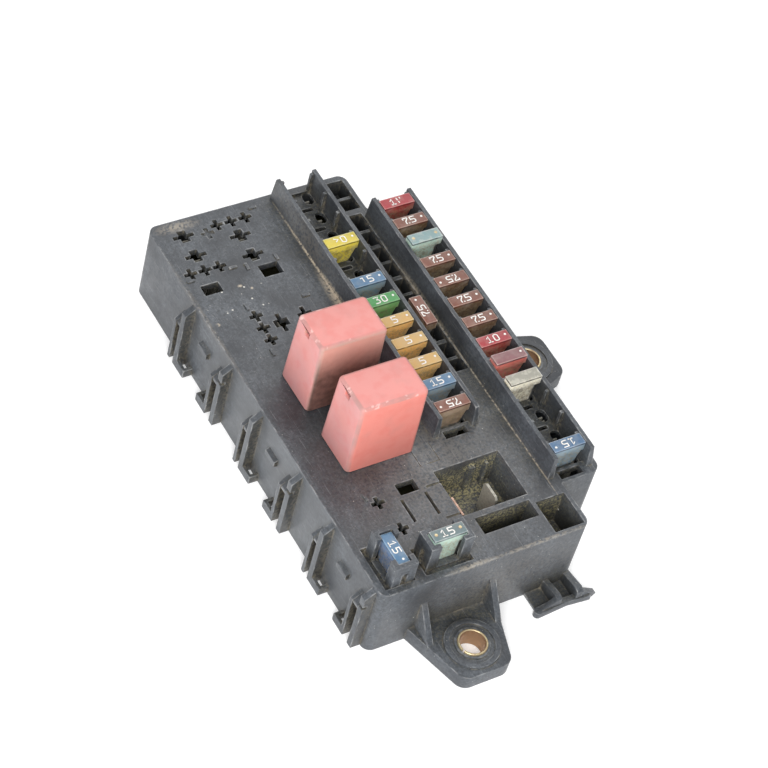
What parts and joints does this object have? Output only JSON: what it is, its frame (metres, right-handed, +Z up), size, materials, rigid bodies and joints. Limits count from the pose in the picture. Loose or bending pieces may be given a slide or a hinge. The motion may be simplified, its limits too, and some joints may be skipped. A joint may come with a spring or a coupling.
{
  "type": "fuse box panel",
  "caption": "Vehicle fuse box panel: deck with railed channels of plug-in blade fuses, plug-in relays, open connector recesses, side guides and bushed bolt ears.",
  "frame": {"origin": "middle of the part's box at its base, level with the underside of the ears", "axes": "+X across to the right ear, +Y along the box to its rear end, +Z up out of the deck"},
  "size_m": [0.1128, 0.17, 0.0543],
  "materials": {
    "housing_plastic": "moulded black plastic, dusty",
    "cover_plastic": "moulded black plastic",
    "board_laminate": "green circuit board",
    "copper": "bare copper",
    "tinned_contact": "tin plated spring metal",
    "zinc_steel": "yellow zinc plated steel",
    "zinc_blade": "zinc alloy blade",
    "relay_plastic": "faded red plastic",
    "relay_base_plastic": "dark moulded plastic",
    "fuse_brown": "tinted brown plastic",
    "fuse_red": "tinted red plastic",
    "fuse_blue": "tinted blue plastic",
    "fuse_tan": "tinted tan plastic",
    "fuse_green": "tinted green plastic",
    "fuse_yellow": "tinted yellow plastic",
    "fuse_teal": "pale teal clear plastic",
    "fuse_clear": "milky clear plastic"
  },
  "bodies": {
    "panel": {"housing": "housing_plastic", "lower_cover": "cover_plastic", "circuit_board": "board_laminate", "bus_bars": "copper", "fuse_contacts": "tinned_contact", "relay_contacts": "tinned_contact", "connector_pins": "tinned_contact", "mount_bushes": "zinc_steel"},
    "relay_1": {"relay_1_cap": "relay_plastic", "relay_1_base": "relay_base_plastic", "relay_1_blades": "tinned_contact", "relay_1_coil": "copper"},
    "relay_2": {"relay_2_cap": "relay_plastic", "relay_2_base": "relay_base_plastic", "relay_2_blades": "tinned_contact", "relay_2_coil": "copper"},
    "fuse_mid_3": {"fuse_mid_3_body": "fuse_brown", "fuse_mid_3_blades": "zinc_blade"},
    "fuse_mid_4": {"fuse_mid_4_body": "fuse_blue", "fuse_mid_4_blades": "zinc_blade"},
    "fuse_mid_5": {"fuse_mid_5_body": "fuse_tan", "fuse_mid_5_blades": "zinc_blade"},
    "fuse_mid_6": {"fuse_mid_6_body": "fuse_tan", "fuse_mid_6_blades": "zinc_blade"},
    "fuse_mid_7": {"fuse_mid_7_body": "fuse_tan", "fuse_mid_7_blades": "zinc_blade"},
    "fuse_mid_8": {"fuse_mid_8_body": "fuse_green", "fuse_mid_8_blades": "zinc_blade"},
    "fuse_mid_9": {"fuse_mid_9_body": "fuse_blue", "fuse_mid_9_blades": "zinc_blade"},
    "fuse_mid_11": {"fuse_mid_11_body": "fuse_yellow", "fuse_mid_11_blades": "zinc_blade"},
    "fuse_right_0": {"fuse_right_0_body": "fuse_blue", "fuse_right_0_blades": "zinc_blade"},
    "fuse_right_3": {"fuse_right_3_body": "fuse_clear", "fuse_right_3_blades": "zinc_blade"},
    "fuse_right_4": {"fuse_right_4_body": "fuse_red", "fuse_right_4_blades": "zinc_blade"},
    "fuse_right_5": {"fuse_right_5_body": "fuse_red", "fuse_right_5_blades": "zinc_blade"},
    "fuse_right_6": {"fuse_right_6_body": "fuse_brown", "fuse_right_6_blades": "zinc_blade"},
    "fuse_right_7": {"fuse_right_7_body": "fuse_brown", "fuse_right_7_blades": "zinc_blade"},
    "fuse_right_8": {"fuse_right_8_body": "fuse_brown", "fuse_right_8_blades": "zinc_blade"},
    "fuse_right_9": {"fuse_right_9_body": "fuse_brown", "fuse_right_9_blades": "zinc_blade"},
    "fuse_right_10": {"fuse_right_10_body": "fuse_teal", "fuse_right_10_blades": "zinc_blade"},
    "fuse_right_11": {"fuse_right_11_body": "fuse_brown", "fuse_right_11_blades": "zinc_blade"},
    "fuse_right_12": {"fuse_right_12_body": "fuse_red", "fuse_right_12_blades": "zinc_blade"},
    "fuse_turned_1": {"fuse_turned_1_body": "fuse_brown", "fuse_turned_1_blades": "zinc_blade"},
    "fuse_front_0": {"fuse_front_0_body": "fuse_blue", "fuse_front_0_blades": "zinc_blade"},
    "fuse_front_1": {"fuse_front_1_body": "fuse_teal", "fuse_front_1_blades": "zinc_blade"}
  },
  "joints": [
    {"name": "relay_1_pull", "type": "slide", "parent": "panel", "child": "relay_1", "axis": [0, 0, 1], "range_m": [0, 0.015]},
    {"name": "relay_2_pull", "type": "slide", "parent": "panel", "child": "relay_2", "axis": [0, 0, 1], "range_m": [0, 0.015]},
    {"name": "fuse_mid_3_pull", "type": "slide", "parent": "panel", "child": "fuse_mid_3", "axis": [0, 0, 1], "range_m": [0, 0.018]},
    {"name": "fuse_mid_4_pull", "type": "slide", "parent": "panel", "child": "fuse_mid_4", "axis": [0, 0, 1], "range_m": [0, 0.018]},
    {"name": "fuse_mid_5_pull", "type": "slide", "parent": "panel", "child": "fuse_mid_5", "axis": [0, 0, 1], "range_m": [0, 0.018]},
    {"name": "fuse_mid_6_pull", "type": "slide", "parent": "panel", "child": "fuse_mid_6", "axis": [0, 0, 1], "range_m": [0, 0.018]},
    {"name": "fuse_mid_7_pull", "type": "slide", "parent": "panel", "child": "fuse_mid_7", "axis": [0, 0, 1], "range_m": [0, 0.018]},
    {"name": "fuse_mid_8_pull", "type": "slide", "parent": "panel", "child": "fuse_mid_8", "axis": [0, 0, 1], "range_m": [0, 0.018]},
    {"name": "fuse_mid_9_pull", "type": "slide", "parent": "panel", "child": "fuse_mid_9", "axis": [0, 0, 1], "range_m": [0, 0.018]},
    {"name": "fuse_mid_11_pull", "type": "slide", "parent": "panel", "child": "fuse_mid_11", "axis": [0, 0, 1], "range_m": [0, 0.018]},
    {"name": "fuse_right_0_pull", "type": "slide", "parent": "panel", "child": "fuse_right_0", "axis": [0, 0, 1], "range_m": [0, 0.018]},
    {"name": "fuse_right_3_pull", "type": "slide", "parent": "panel", "child": "fuse_right_3", "axis": [0, 0, 1], "range_m": [0, 0.018]},
    {"name": "fuse_right_4_pull", "type": "slide", "parent": "panel", "child": "fuse_right_4", "axis": [0, 0, 1], "range_m": [0, 0.018]},
    {"name": "fuse_right_5_pull", "type": "slide", "parent": "panel", "child": "fuse_right_5", "axis": [0, 0, 1], "range_m": [0, 0.018]},
    {"name": "fuse_right_6_pull", "type": "slide", "parent": "panel", "child": "fuse_right_6", "axis": [0, 0, 1], "range_m": [0, 0.018]},
    {"name": "fuse_right_7_pull", "type": "slide", "parent": "panel", "child": "fuse_right_7", "axis": [0, 0, 1], "range_m": [0, 0.018]},
    {"name": "fuse_right_8_pull", "type": "slide", "parent": "panel", "child": "fuse_right_8", "axis": [0, 0, 1], "range_m": [0, 0.018]},
    {"name": "fuse_right_9_pull", "type": "slide", "parent": "panel", "child": "fuse_right_9", "axis": [0, 0, 1], "range_m": [0, 0.018]},
    {"name": "fuse_right_10_pull", "type": "slide", "parent": "panel", "child": "fuse_right_10", "axis": [0, 0, 1], "range_m": [0, 0.018]},
    {"name": "fuse_right_11_pull", "type": "slide", "parent": "panel", "child": "fuse_right_11", "axis": [0, 0, 1], "range_m": [0, 0.018]},
    {"name": "fuse_right_12_pull", "type": "slide", "parent": "panel", "child": "fuse_right_12", "axis": [0, 0, 1], "range_m": [0, 0.018]},
    {"name": "fuse_turned_1_pull", "type": "slide", "parent": "panel", "child": "fuse_turned_1", "axis": [0, 0, 1], "range_m": [0, 0.018]},
    {"name": "fuse_front_0_pull", "type": "slide", "parent": "panel", "child": "fuse_front_0", "axis": [0, 0, 1], "range_m": [0, 0.018]},
    {"name": "fuse_front_1_pull", "type": "slide", "parent": "panel", "child": "fuse_front_1", "axis": [0, 0, 1], "range_m": [0, 0.018]}
  ]
}
